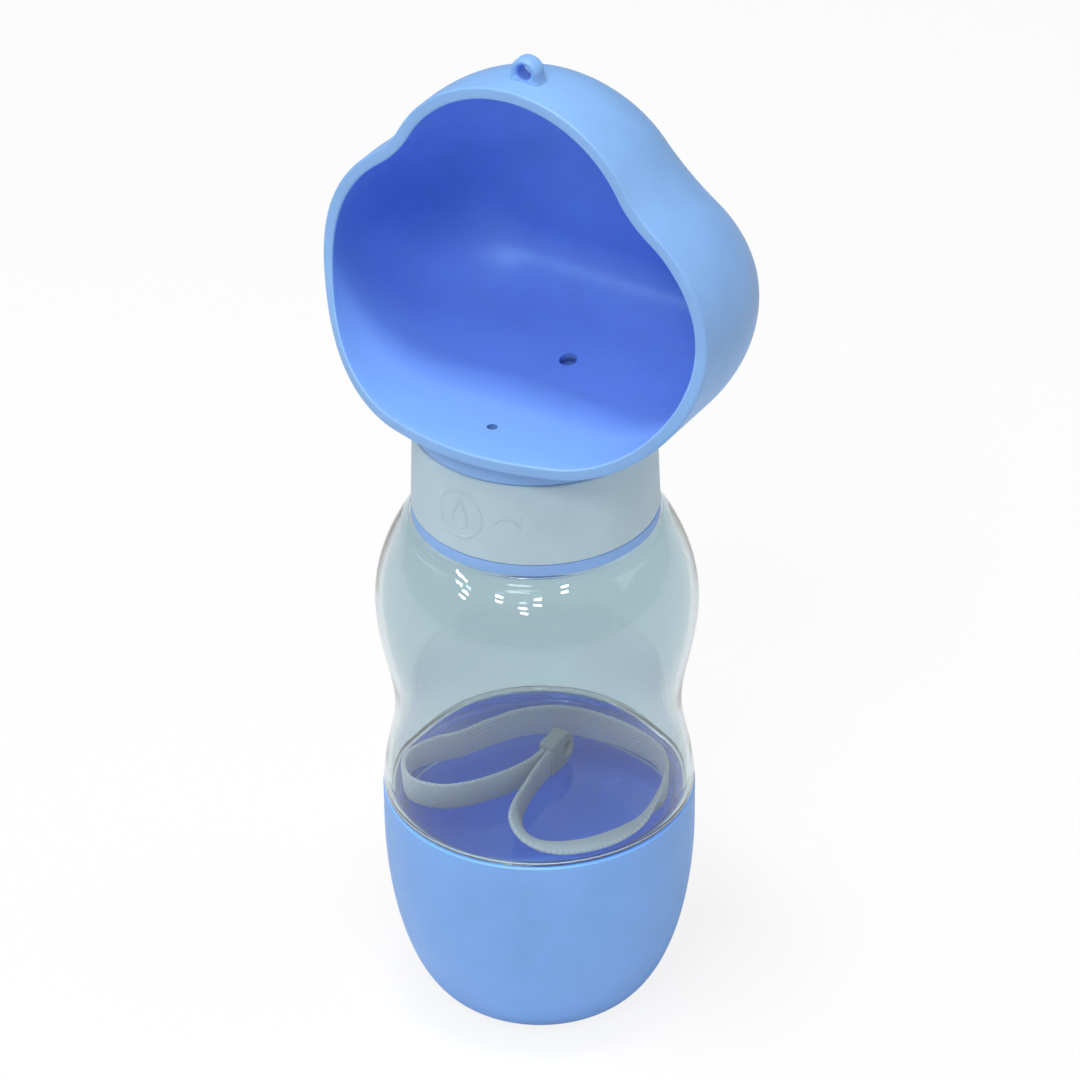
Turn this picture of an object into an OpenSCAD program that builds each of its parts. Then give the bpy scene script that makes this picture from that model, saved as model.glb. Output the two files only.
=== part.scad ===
// Dog travel water bottle: a clear bottle with a cloud-shaped drinking bowl that turns in a
// screw collar, and a food cup screwed on below. Millimetres, +Z up. The origin is the middle
// of the food cup's base, and the bowl faces -Y.

/* [Food cup] */
// Height of the cup's rim above the table
cup_h = 55.5; // [50:0.5:62]
// Outer radius of the rim
cup_rim_r = 36; // [35:0.5:38]
// Radius of the flat that the cup stands on
cup_base_r = 20; // [17:0.5:24]
// Height over which the side curves out
cup_curve_h = 46; // [36:1:50]
// Wall thickness of the cup
cup_wall = 1.9; // [1.5:0.1:2.5]

/* [Bottle] */
// Outer radius just above the cup
foot_r = 35.8; // [34.5:0.1:36]
// Outer radius at the waist
waist_r = 32.8; // [30:0.2:34]
// Height of the waist
waist_z = 78; // [74:1:84]
// Outer radius at the bulge
bulge_r = 36.6; // [35:0.1:38]
// Height of the bulge
bulge_z = 106; // [100:1:110]
// Height of the ledge round the neck
shoulder_z = 129.2; // [126:0.2:132]
// Outer radius of that ledge
shoulder_r = 28.5; // [28:0.1:29.5]
// Wall thickness of the bottle
bottle_wall = 1.6; // [1.2:0.1:2.2]
// Height of the chamber's floor
floor_z = 55; // [54:0.1:56]
// Outer radius of the threaded spigot that goes into the cup
spigot_r = 33.3; // [32:0.1:33.4]
// How far the spigot reaches down from the rim
spigot_h = 9.2; // [7:0.1:11]
// Outer radius of the neck
neck_r = 24; // [23:0.1:24.2]
// Height of the mouth
mouth_z = 146; // [143:0.2:146.2]

/* [Collar] */
// Outer radius at the collar's lower edge, and of the gasket under it
collar_r = 27.9; // [27:0.1:29]
// Outer radius at its upper edge
collar_top_r = 27.2; // [26.5:0.1:28]
// Height of its upper edge
collar_top_z = 152; // [151.5:0.1:153]

/* [Drinking bowl] */
// Outer radius of the top lobe
top_lobe_r = 32.7; // [30:0.1:36]
// Height of the top lobe's centre
top_lobe_z = 205.5; // [200:0.1:208]
// Outer radius of the side lobes
side_lobe_r = 32.7; // [31:0.1:36]
// Distance of a side lobe's centre from the middle
side_lobe_x = 16.1; // [12:0.1:18]
// Height of the side lobes' centres
side_lobe_z = 187.2; // [184:0.1:190]
// Radius of the lower corners
corner_r = 28.3; // [25.5:0.1:30]
// Angle below the horizontal at which the corners run into the side lobes
corner_a = 20.5; // [10:0.5:50]
// Fillet radius of the notch between two lobes, at the rim
notch_r = 24.8; // [10:0.2:30]
// The same where the wall starts to round into the back
notch_back_r = 55; // [25:1:70]
// Wall thickness of the bowl
bowl_wall = 2.1; // [1.8:0.1:2.6]
// Thickness of its rim
rim_wall = 2.8; // [2:0.1:3.2]
// How far the rim stands in front of the axis along the sides and the top
rim_front = 8.4; // [5:0.1:12]
// How far the pouring lip stands in front of the axis
lip_front = 29.9; // [28:0.1:33]
// Distance of the back from the axis, at the side lobes' height
back_y = 34; // [30:0.2:35]
// How much the back leans forward for each millimetre of height
back_lean = 0.13; // [0:0.01:0.15]
// Depth over which the wall rounds into the back
round_depth = 32.8; // [20:0.2:34]
// How far in from the outline that round reaches
round_inset = 21.5; // [18:0.5:25]

/* [Lanyard eyelet] */
// Radius of the eyelet's hole
eye_bore_r = 1.6; // [1:0.1:1.8]
// Outer radius of the eyelet
eye_r = 3.4; // [3:0.1:4.5]
// Thickness of the eyelet from front to back
eye_t = 4; // [3:0.1:6]

/* [Ports] */
// Radius of the water hole in the bowl's floor
water_r = 2; // [1.5:0.1:2.4]
// Distance of the water hole behind the axis
water_y = 14.4; // [12:0.1:16.8]
// Radius of the air hole
air_r = 1.2; // [0.8:0.1:1.5]
// Distance of the air hole in front of the axis
air_y = 17.5; // [15:0.1:17.5]
// How far the bowl turns from open to shut, in degrees
quarter_turn = 90; // [60:5:90]

/* [Strap] */
// Width of the webbing
strap_w = 7; // [6:0.1:7.2]
// Thickness of the webbing
strap_t = 1.1; // [0.8:0.1:1.2]

/* [Hidden] */
$fn = 96;

cup_blue = [0.47, 0.66, 0.9];
bowl_blue = [0.45, 0.65, 0.93];
clear_plastic = [0.75, 0.87, 0.88, 0.35];
collar_white = [0.86, 0.9, 0.92];
silicone = [0.9, 0.92, 0.94];
webbing_grey = [0.6, 0.66, 0.68];

// Clearances between pieces of different bodies, and between a seal and its seat
gap = 0.3;
seal_gap = 0.15;

// Food cup
cup_floor = 2.2;
foot_ring_r = 16;
foot_ring_h = 0.8;
rebate_r = cup_rim_r - 1.05;
rebate_h = 1.5;

// Bottle
ledge_z = cup_h + gap;
spigot_z = ledge_z - spigot_h - gap;
floor_t = 1.8;
corner_fillet = 3.5;
neck_wall = 2;
neck_bore_r = neck_r - neck_wall;
shoulder_t = 1.6;

// Collar, from its lower edge up to the deck that the bowl turns in
gasket_h = 2.5;
collar_z = shoulder_z + gasket_h + 2 * seal_gap;
collar_bore_r = neck_r + 0.9;
mouth_gasket_h = 1.3;
seat_z = mouth_z + mouth_gasket_h + 2 * seal_gap - 0.1;
seat_t = 1.8;
deck_z = seat_z + seat_t;
lip_z = collar_top_z - 1.3;
barrel_r = 20.5;
deck_bore_r = barrel_r + 0.6;
ring_r = 22.9;
ring_pocket_r = ring_r + gap;
barrel_end_r = 19.6;
barrel_z = deck_z + 0.2;
pad_r = 19.1;
pad_t = 1.2;
o_ring_wire = 0.4;
o_ring_r = barrel_r;
o_ring_z = lip_z + 0.65;

// Quarter-turn stop: a lug on the collar's deck runs in a slot in the bowl's foot
stop_r0 = 22.4;
stop_r1 = 24.8;
stop_a = 7;
stop_top = collar_top_z + 2.2;

// Drinking bowl
foot_gap = 0.2;
bowl_foot_r = collar_top_r - 0.1;
bowl_foot_z = collar_top_z + foot_gap;
rim_reach = 74.7;
rim_power = 5.4;
rim_squeeze = 0.435;

function polar(r, a) = r * [cos(a), sin(a)];
function reversed(list) = [for (i = [len(list) - 1:-1:0]) list[i]];
function mix(a, b, t) = a + (b - a) * t;

// The right-hand point at distance r1 from c1 and r2 from c2
function circles_meet(c1, r1, c2, r2) =
    let (
        d = norm(c2 - c1),
        along = (r1 * r1 - r2 * r2 + d * d) / (2 * d),
        across = sqrt(r1 * r1 - along * along),
        u = (c2 - c1) / d
    )
    c1 + along * u + across * [abs(u.y), -u.x * sign(u.y)];

// Profile of the food cup: an ellipse quarter, then straight up
function cup_r(z) =
    let (t = 1 - min(z, cup_curve_h) / cup_curve_h)
    mix(cup_base_r, cup_rim_r, sqrt(1 - t * t));

// Profile of the bottle: two half waves and a parabola that closes the shoulder
function wave(a, b, t) = mix(a, b, (1 - cos(180 * t)) / 2);
function bottle_r(z) =
    z < waist_z ? wave(foot_r, waist_r, (z - ledge_z) / (waist_z - ledge_z))
    : z < bulge_z ? wave(waist_r, bulge_r, (z - waist_z) / (bulge_z - waist_z))
    : mix(bulge_r, shoulder_r, pow((z - bulge_z) / (shoulder_z - bulge_z), 2));

module food_cup() {
    steps = 22;
    outer_z = [for (i = [1:steps]) cup_curve_h * pow(i / steps, 2)];
    inner_top = cup_h - rebate_h;
    inner_z = [for (i = [1:steps]) mix(cup_floor, cup_curve_h, pow(i / steps, 2))];
    color(cup_blue)
    rotate_extrude()
    polygon(concat(
        [[0, foot_ring_h], [foot_ring_r - foot_ring_h, foot_ring_h], [foot_ring_r, 0], [cup_base_r, 0]],
        [for (z = outer_z) [cup_r(z), z]],
        [[cup_rim_r, cup_h - 0.4], [cup_rim_r - 0.4, cup_h], [rebate_r, cup_h]],
        [[rebate_r, inner_top], [cup_rim_r - cup_wall, inner_top]],
        reversed([for (z = inner_z) [cup_r(z - cup_floor * 0.4) - cup_wall, z]]),
        [[0, cup_floor]]
    ));
}

module cup_seal() {
    color(silicone)
    rotate_extrude()
    translate([spigot_r + seal_gap, cup_h - rebate_h + seal_gap])
    square([rebate_r - spigot_r - 2 * seal_gap, rebate_h]);
}

module bottle() {
    steps = 36;
    body_z = [for (i = [1:steps - 1]) mix(ledge_z + 0.5, shoulder_z, i / steps)];
    fillet_c = [foot_r - bottle_wall - corner_fillet, floor_z + corner_fillet];
    inner_z = [for (z = body_z) if (z > fillet_c.y + 1 && z < shoulder_z - 3) z];
    color(clear_plastic)
    rotate_extrude()
    polygon(concat(
        [[0, floor_z - floor_t], [spigot_r - bottle_wall, floor_z - floor_t]],
        [[spigot_r - bottle_wall, spigot_z], [spigot_r, spigot_z], [spigot_r, ledge_z]],
        [[foot_r - 0.5, ledge_z], [foot_r, ledge_z + 0.5]],
        [for (z = body_z) [bottle_r(z), z]],
        [[shoulder_r, shoulder_z - 0.3], [shoulder_r - 0.3, shoulder_z], [neck_r, shoulder_z]],
        [[neck_r, mouth_z - 0.5], [neck_r - 0.5, mouth_z], [neck_bore_r, mouth_z]],
        [[neck_bore_r, shoulder_z - 0.6], [neck_bore_r + 0.8, shoulder_z - shoulder_t]],
        [[bottle_r(shoulder_z - 3) - bottle_wall - 1.6, shoulder_z - shoulder_t - 0.2]],
        reversed([for (z = inner_z) [bottle_r(z) - bottle_wall, z]]),
        [for (a = [0:-15:-90]) fillet_c + polar(corner_fillet, a)],
        [[0, floor_z]]
    ));
}

// The strap's route along its middle: x, y, z, heading of its width, and how far that leans up.
// Both ends meet in the clasp. It stands on edge round the left loop and behind, and leans
// over on the chamber's corner at the front right.
strap_route = [
    [-0.75, 3, 58.7, 0, 90],
    [-1.3, -2, 58.7, 0, 90],
    [-3.4, -8.5, 58.7, 0, 90],
    [-6, -13.5, 58.7, 0, 90],
    [-8.8, -17.8, 58.7, 0, 90],
    [-13, -21.6, 58.7, 0, 90],
    [-19.6, -22.6, 58.7, 0, 90],
    [-24.7, -18.6, 58.7, 0, 90],
    [-26.8, -12.4, 58.7, 0, 90],
    [-25, -6.2, 58.7, 0, 90],
    [-20.8, -0.8, 58.7, 0, 90],
    [-17.6, 5.5, 58.7, 0, 90],
    [-13, 12.5, 58.7, 0, 90],
    [-6, 18.2, 58.7, 0, 90],
    [3, 21, 58.7, 0, 90],
    [12, 21.3, 58.7, 0, 90],
    [20, 18.8, 58.7, 5, 90],
    [26, 13, 58.7, 10, 90],
    [29.4, 5.8, 58.7, 10, 88],
    [30.1, -0.8, 58.6, -2, 66],
    [29.7, -7.2, 57.7, -14, 36],
    [27.4, -13.3, 57, -26, 21],
    [23.6, -18.8, 56.75, -38, 17],
    [18.6, -23, 56.8, -60, 18],
    [13.1, -24.6, 57.5, -88, 32],
    [8.2, -22.4, 58.4, -130, 56],
    [5, -17.3, 58.7, -155, 80],
    [3, -10.5, 58.7, -165, 90],
    [1.5, -3.5, 58.7, -170, 90],
    [0.75, 3, 58.7, -170, 90]
];
strap_steps = 2;

// A smooth curve through a list of vectors, with the same number of steps between any two
function between(p0, p1, p2, p3, t) =
    0.5 * (2 * p1 + (p2 - p0) * t + (2 * p0 - 5 * p1 + 4 * p2 - p3) * t * t
    + (3 * p1 - p0 - 3 * p2 + p3) * t * t * t);
function smooth(list, steps) =
    let (last = len(list) - 1)
    concat(
        [for (i = [0:last - 1], s = [0:steps - 1])
            between(list[max(i - 1, 0)], list[i], list[i + 1], list[min(i + 2, last)], s / steps)],
        [list[last]]
    );

// Triangles of a closed skin over rings of n points, with a point at each end
function skin_faces(rings, n) =
    concat(
        [for (i = [0:n - 1]) [rings * n, i, (i + 1) % n]],
        [for (k = [0:rings - 2], i = [0:n - 1])
            let (a = k * n + i, b = k * n + (i + 1) % n) each [[a, b + n, b], [a, a + n, b + n]]],
        [for (i = [0:n - 1]) let (last = (rings - 1) * n) [rings * n + 1, last + (i + 1) % n, last + i]]
    );
module skin(rings, start, end) {
    n = len(rings[0]);
    polyhedron(
        points = concat([for (ring = rings) each ring], [start, end]),
        faces = skin_faces(len(rings), n)
    );
}

function unit(v) = v / norm(v);
function strap_ring(line, i) =
    let (
        here = line[i],
        ahead = line[min(i + 1, len(line) - 1)],
        behind = line[max(i - 1, 0)],
        along = unit([for (k = [0:2]) ahead[k] - behind[k]]),
        heading = [cos(here[3]) * cos(here[4]), sin(here[3]) * cos(here[4]), sin(here[4])],
        wide = unit(heading - (heading * along) * along),
        thick = cross(along, wide),
        w = strap_w / 2,
        t = strap_t / 2,
        edge = t * 0.6
    )
    [for (c = [[w, -t + edge], [w, t - edge], [w - edge, t], [-w + edge, t],
               [-w, t - edge], [-w, -t + edge], [-w + edge, -t], [w - edge, -t]])
        [for (k = [0:2]) here[k] + c.x * wide[k] + c.y * thick[k]]];

module carry_strap() {
    line = smooth(strap_route, strap_steps);
    ends = [line[0], line[len(line) - 1]];
    color(webbing_grey)
    skin(
        [for (i = [0:len(line) - 1]) strap_ring(line, i)],
        [for (k = [0:2]) ends[0][k]],
        [for (k = [0:2]) ends[1][k]]
    );
}

// The clasp grips both ends of the strap and has an eye at its rounded end
module strap_clasp() {
    size = [3.8, 5.5, 8.3];
    front_y = strap_route[0].y + 0.05;
    color(webbing_grey)
    difference() {
        union() {
            translate([-size.x / 2, front_y, floor_z + 0.1]) cube(size);
            translate([0, front_y + size.y, floor_z + 0.1 + size.z / 2]) rotate([0, 90, 0])
            cylinder(d = size.z, h = size.x, center = true);
        }
        translate([0, front_y + size.y + 1, floor_z + 0.1 + size.z / 2]) rotate([0, 90, 0])
        cylinder(r = 1.6, h = 2 * size.x, center = true);
    }
}

module ring(inner, outer, z0, z1) {
    translate([0, 0, z0])
    difference() {
        cylinder(r = outer, h = z1 - z0);
        translate([0, 0, -1]) cylinder(r = inner, h = z1 - z0 + 2);
    }
}

module mouth_gasket() {
    color(silicone)
    ring(neck_bore_r + 0.2, collar_bore_r - 0.3, mouth_z + seal_gap, mouth_z + seal_gap + mouth_gasket_h);
}

module neck_gasket() {
    color(bowl_blue)
    ring(neck_r + gap, collar_r, shoulder_z + seal_gap, shoulder_z + seal_gap + gasket_h);
}

module collar() {
    edge = 0.5;
    color(collar_white) {
        rotate_extrude()
        polygon([
            [collar_bore_r, collar_z],
            [collar_r - edge, collar_z],
            [collar_r, collar_z + edge],
            [collar_top_r, collar_top_z - edge],
            [collar_top_r - edge, collar_top_z],
            [deck_bore_r, collar_top_z],
            [deck_bore_r, lip_z],
            [ring_pocket_r, lip_z],
            [ring_pocket_r, deck_z],
            [collar_bore_r, deck_z]
        ]);
        rotate([0, 0, 90 - stop_a])
        rotate_extrude(angle = 2 * stop_a)
        translate([stop_r0, collar_top_z - 0.5])
        square([stop_r1 - stop_r0, stop_top - collar_top_z + 0.5]);
    }
}

// The two holes, as long as asked and wider by extra
module ports(z0, z1, extra = 0) {
    translate([0, water_y, z0]) cylinder(r = water_r + extra, h = z1 - z0);
    translate([0, -air_y, z0]) cylinder(r = air_r + extra, h = z1 - z0);
}

module valve_seat() {
    color(collar_white)
    difference() {
        translate([0, 0, seat_z]) cylinder(r = collar_bore_r, h = seat_t);
        ports(seat_z - 1, deck_z + 1, 0.2);
    }
}

module retaining_ring() {
    color(collar_white)
    ring(barrel_end_r, ring_r, barrel_z, lip_z - seal_gap);
}

module port_pad() {
    color(silicone)
    difference() {
        translate([0, 0, deck_z + 0.05]) cylinder(r = pad_r, h = pad_t);
        ports(deck_z - 1, deck_z + 3, 0.1);
    }
}

module barrel_o_ring() {
    color(silicone)
    translate([0, 0, o_ring_z])
    rotate_extrude()
    translate([o_ring_r, 0])
    circle(r = o_ring_wire);
}

// The cloud outline, inset by d and with notch fillets of radius n, in front view: [x, z]
// points from the middle of the floor up the right side and down the left. Every stretch is
// an arc tangent to the next one.
top_c = [0, top_lobe_z];
side_c = [side_lobe_x, side_lobe_z];
corner_c = side_c + polar(side_lobe_r - corner_r, -corner_a);
bowl_floor_z = corner_c.y - corner_r;

function arc(c, r, a0, a1, n) = [for (i = [0:n - 1]) c + polar(r, mix(a0, a1, i / n))];
function half_cloud(d, n) =
    let (
        notch_c = circles_meet(top_c, top_lobe_r + n, side_c, side_lobe_r + n),
        side_end_a = atan2(notch_c.y - side_c.y, notch_c.x - side_c.x),
        top_start_a = atan2(notch_c.y - top_c.y, notch_c.x - top_c.x)
    )
    concat(
        [for (i = [0:3]) [corner_c.x * i / 4, bowl_floor_z + d]],
        arc(corner_c, corner_r - d, -90, -corner_a, 8),
        arc(side_c, side_lobe_r - d, -corner_a, side_end_a, 11),
        arc(notch_c, n + d, side_end_a + 180, top_start_a + 180, 5),
        arc(top_c, top_lobe_r - d, top_start_a, 90, 9),
        [[0, top_lobe_z + top_lobe_r - d]]
    );
function cloud(d, n) =
    let (half = half_cloud(d, n))
    concat(half, [for (i = [len(half) - 2:-1:1]) [-half[i].x, half[i].y]]);

// The rim's place in front of the axis: far out at the lip, then sweeping back up the sides
function rim_y(p, d) =
    let (
        far = norm([rim_squeeze * p.x, p.y - bowl_floor_z - d]),
        share = (1 + cos(180 * min(far, rim_reach) / rim_reach)) / 2
    )
    -mix(rim_front, lip_front, pow(share, rim_power));

// Where the round into the back starts, at the height of an outline point
function round_y(z) = back_y - back_lean * (z - side_lobe_z) - round_depth;

// One side of the wall as rings from the rim to the back: d is the offset inwards, and
// rim_d the offset at the rim
function bowl_side(d, rim_d) =
    let (base = cloud(d, notch_back_r), steps = 6, n = len(base))
    concat(
        [[for (p = cloud(rim_d, notch_r)) [p.x, rim_y(p, rim_d), p.y]]],
        [for (k = [0:steps])
            let (a = 90 * k / steps, inset = d + (round_inset - d) * (1 - cos(a)))
            let (cut = cloud(inset, notch_back_r))
            [for (i = [0:n - 1])
                [cut[i].x, round_y(base[i].y) + (round_depth - d) * sin(a), cut[i].y]]]
    );

// Rings that close the back: they shrink towards the middle and even out what the lean left
back_mid = [0, round_y(side_lobe_z + 9) + round_depth, side_lobe_z + 9];
function bowl_back(edge, mid, steps) =
    [for (k = [1:steps - 1])
        let (t = 1 - k / steps, ease = t * t * (3 - 2 * t))
        [for (p = edge) [t * p.x, mix(mid.y, p.y, ease), mix(mid.z, p.z, t)]]];

module bowl_shell() {
    steps = 4;
    outside = bowl_side(0, 0);
    inside = bowl_side(bowl_wall, rim_wall);
    inner_mid = back_mid - [0, bowl_wall, 0];
    outer_back = bowl_back(outside[len(outside) - 1], back_mid, steps);
    inner_back = bowl_back(inside[len(inside) - 1], inner_mid, steps);
    skin(
        concat(reversed(outer_back), reversed(outside), inside, inner_back),
        back_mid,
        inner_mid
    );
}

// Side view of what the foot fills, up to the middle of the bowl's wall: [y, z] points
function under_bowl() =
    let (
        d = bowl_wall / 2,
        y0 = round_y(bowl_floor_z),
        depth = round_depth - d,
        tall = round_inset - d
    )
    concat(
        [[-40, bowl_foot_z], [-40, bowl_floor_z + d]],
        [for (a = [0:6:72]) [y0 + depth * sin(a), bowl_floor_z + d + tall * (1 - cos(a))]],
        [[y0 + depth * sin(72), bowl_foot_z]]
    );

module bowl_foot() {
    intersection() {
        translate([0, 0, bowl_foot_z]) cylinder(r = bowl_foot_r, h = 30);
        rotate([90, 0, 90]) linear_extrude(100, center = true) polygon(under_bowl());
    }
    translate([0, 0, lip_z]) cylinder(r = barrel_r, h = 4);
    translate([0, 0, barrel_z]) cylinder(r = barrel_end_r, h = 4);
}

// A lug with a rounded crown, its hole along Y
eye_y = -1;
eye_z = top_lobe_z + top_lobe_r + 1.95;
module eyelet() {
    crown_r = 4.4;
    intersection() {
        translate([0, eye_y, 0])
        rotate([90, 0, 0])
        linear_extrude(eye_t, center = true) {
            translate([0, eye_z]) circle(r = eye_r);
            translate([-eye_r, eye_z - 3.4]) square([2 * eye_r, 3.4]);
        }
        union() {
            translate([0, eye_y, eye_z + eye_r - crown_r - 0.2]) rotate([0, 90, 0])
            cylinder(r = crown_r, h = 20, center = true);
            translate([-10, eye_y - 10, eye_z - 10]) cube([20, 20, 9.1]);
        }
    }
}

module drinking_bowl() {
    groove_h = 2 * o_ring_wire + 0.1;
    color(bowl_blue)
    difference() {
        union() {
            bowl_shell();
            bowl_foot();
            eyelet();
        }
        ports(barrel_z - 1, 168);
        translate([0, eye_y, eye_z]) rotate([90, 0, 0])
        cylinder(r = eye_bore_r, h = 20, center = true);
        // Pocket for the pad and groove for the O-ring
        translate([0, 0, barrel_z - 1]) cylinder(r = pad_r, h = 1 + deck_z + pad_t + 0.05 - barrel_z);
        ring(o_ring_r - o_ring_wire, barrel_r + 1, o_ring_z - groove_h / 2, o_ring_z + groove_h / 2);
        // Slot for the stop lug, from open to shut
        rotate([0, 0, 90 - stop_a - 1.5])
        rotate_extrude(angle = quarter_turn + 2 * stop_a + 3)
        translate([stop_r0 - gap, bowl_foot_z - 1])
        square([stop_r1 - stop_r0 + 2 * gap, stop_top + gap - bowl_foot_z + 1]);
    }
}

food_cup();
cup_seal();
bottle();
carry_strap();
strap_clasp();
mouth_gasket();
neck_gasket();
collar();
valve_seat();
drinking_bowl();
retaining_ring();
port_pad();
barrel_o_ring();
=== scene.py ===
# %% [markdown]
# # A dog travel water bottle
# The bottle has a clear body, a cloud-shaped drinking bowl that turns in a white screw collar,
# and a blue food cup screwed on below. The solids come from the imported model, so every piece
# here is made in the same frame: the cup's base stands on z = 0, the bowl opens towards -Y,
# and lengths are metres. Each cell makes one piece or one finish and prints what it made.

import math

import bmesh
import bpy
from mathutils import Matrix, Vector


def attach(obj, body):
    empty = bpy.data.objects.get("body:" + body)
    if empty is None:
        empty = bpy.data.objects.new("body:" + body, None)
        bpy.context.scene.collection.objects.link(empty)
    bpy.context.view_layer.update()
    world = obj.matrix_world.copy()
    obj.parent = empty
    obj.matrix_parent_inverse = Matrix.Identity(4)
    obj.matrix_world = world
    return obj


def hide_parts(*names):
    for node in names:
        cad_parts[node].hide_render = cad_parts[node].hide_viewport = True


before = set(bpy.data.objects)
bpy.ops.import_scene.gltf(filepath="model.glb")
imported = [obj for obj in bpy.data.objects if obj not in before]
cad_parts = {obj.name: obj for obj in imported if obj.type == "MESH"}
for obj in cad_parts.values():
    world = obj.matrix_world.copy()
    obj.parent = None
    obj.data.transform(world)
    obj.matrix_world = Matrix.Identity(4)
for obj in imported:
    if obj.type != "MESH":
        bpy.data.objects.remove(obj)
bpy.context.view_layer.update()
MM = 0.001

# %% [markdown]
# ## The camera
# The photograph was taken from about 1.2 m with a long lens, 32 degrees round to the right of
# the bowl's front and 33 degrees above the table, with the camera turned a little in the hand.
# A long lens keeps the sides of the bottle nearly parallel. The camera's three axes are built
# from those angles, which is surer than turning it until it looks right.

# %% Camera
azimuth = math.radians(31.93)
elevation = math.radians(33.104)
roll = math.radians(-0.7036)
right = Vector((math.cos(azimuth), math.sin(azimuth), 0))
level = Vector((-math.sin(azimuth), math.cos(azimuth), 0))
forward = level * math.cos(elevation) - Vector((0, 0, math.sin(elevation)))
up = level * math.sin(elevation) + Vector((0, 0, math.cos(elevation)))
aim = right * 0.00086 + Vector((0, 0, 0.1206))
distance = 1.2

camera_data = bpy.data.cameras.new("camera")
camera_data.sensor_width = 36
camera_data.lens = 178.27
camera_data.clip_end = 20
camera = bpy.data.objects.new("camera", camera_data)
side_axis = right * math.cos(roll) + up * math.sin(roll)
up_axis = up * math.cos(roll) - right * math.sin(roll)
turn = Matrix((side_axis, up_axis, -forward)).transposed().to_4x4()
camera.matrix_world = Matrix.Translation(aim - forward * distance) @ turn
bpy.context.scene.collection.objects.link(camera)
bpy.context.scene.camera = camera
print("camera at", [round(v, 3) for v in camera.matrix_world.translation])

# %% [markdown]
# ## Helpers for making pieces
# Every piece is a mesh made from points and faces. One helper turns them into an object and
# smooths it, but keeps an edge crisp wherever two faces meet at more than a set angle. Long
# pieces are rings of points with a skin between them. One helper hands a piece over: which
# body it moves with, which solid it stands for, and which finish it has. Another can then
# give the inside of a piece a second, glossier finish, whose deeper blue is painted shade
# in the bowl and painted light in the cup.

# %% Mesh from points and faces
def new_mesh(name, points, faces, crisp=38):
    mesh = bpy.data.meshes.new(name)
    bm = bmesh.new()
    verts = [bm.verts.new(Vector(p) * MM) for p in points]
    for face in faces:
        if len(set(face)) > 2:
            bm.faces.new([verts[i] for i in face])
    bmesh.ops.remove_doubles(bm, verts=bm.verts, dist=1e-7)
    bmesh.ops.recalc_face_normals(bm, faces=bm.faces)
    smooth_shading(bm, crisp)
    bm.to_mesh(mesh)
    bm.free()
    piece = bpy.data.objects.new(name, mesh)
    bpy.context.scene.collection.objects.link(piece)
    return piece


def smooth_shading(bm, crisp):
    for face in bm.faces:
        face.smooth = True
    for edge in bm.edges:
        edge.smooth = len(edge.link_faces) == 2 and edge.calc_face_angle(0) < math.radians(crisp)


def skin(rings, sides, closed=False, first=0):
    """Faces between rings of points that follow each other, from point number first on"""
    faces = []
    for i in range(rings if closed else rings - 1):
        j = (i + 1) % rings
        for k in range(sides):
            m = (k + 1) % sides
            face = (i * sides + k, i * sides + m, j * sides + m, j * sides + k)
            faces.append([first + corner for corner in face])
    return faces


def end_caps(rings, sides, first=0):
    last = first + (rings - 1) * sides
    return [list(range(first, first + sides)), list(range(last, last + sides))]


def gloss_and_painted_light_inside(piece, material, is_inside):
    """Gives the faces whose middle (mm) and normal pass the test a second finish: the glossier inside one,
    whose deeper blue is painted shade in the bowl and painted light in the cup
    """
    piece.data.materials.append(material)
    for face in piece.data.polygons:
        if is_inside(face.center / MM, face.normal):
            face.material_index = len(piece.data.materials) - 1


def hand_over(piece, body, slot, material, *nodes):
    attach(piece, body)
    if nodes:
        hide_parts(*nodes)
    piece.data.materials.clear()
    piece.data.materials.append(material)
    print(f"{piece.name}: {len(piece.data.vertices)} points, moves with {body}")


# %% [markdown]
# Most of the pieces are turned shapes: seals, collar, bottle and cup. A turned shape is an
# outline of radius and height, swept round the axis. Moulded plastic has no knife edges, so
# each corner of an outline may carry a fillet radius, and the outline is rounded before it is
# swept. Threads are pressed into the same skin by a small change of radius that climbs as it
# goes round, so a clear part has no hidden faces inside its wall.

# %% Outlines with rounded corners
def rounded(corners, steps=5):
    """corners are (radius from the axis, height) or (radius, height, fillet)"""
    out = []
    count = len(corners)
    for i, corner in enumerate(corners):
        here = Vector(corner[:2])
        fillet = corner[2] if len(corner) > 2 else 0
        if not fillet:
            out.append(tuple(here))
            continue
        to_last = Vector(corners[i - 1][:2]) - here
        to_next = Vector(corners[(i + 1) % count][:2]) - here
        half = to_last.angle(to_next) / 2
        reach = min(fillet / math.tan(half), 0.49 * to_last.length, 0.49 * to_next.length)
        radius = reach * math.tan(half)
        middle = here + (to_last.normalized() + to_next.normalized()).normalized() * (
            radius / math.sin(half)
        )
        start = here + to_last.normalized() * reach - middle
        end = here + to_next.normalized() * reach - middle
        sweep = start.angle_signed(end)
        for k in range(steps + 1):
            a = -sweep * k / steps
            spoke = Vector((
                start.x * math.cos(a) - start.y * math.sin(a),
                start.x * math.sin(a) + start.y * math.cos(a),
            ))
            out.append(tuple(middle + spoke))
    return out


def divided(outline, low, high, step):
    """Puts more points on an outline where its height is between low and high"""
    out = []
    for a, b in zip(outline, outline[1:] + outline[:1]):
        out.append(a)
        inside = low <= min(a[1], b[1]) and max(a[1], b[1]) <= high
        across, up_by = b[0] - a[0], b[1] - a[1]
        parts = int(abs(up_by) / step) if inside else 0
        out += [(a[0] + across * k / parts, a[1] + up_by * k / parts) for k in range(1, parts)]
    return out


def on_circle(centre, radius, degrees):
    a = math.radians(degrees)
    return (centre[0] + radius * math.cos(a), centre[1] + radius * math.sin(a))


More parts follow.
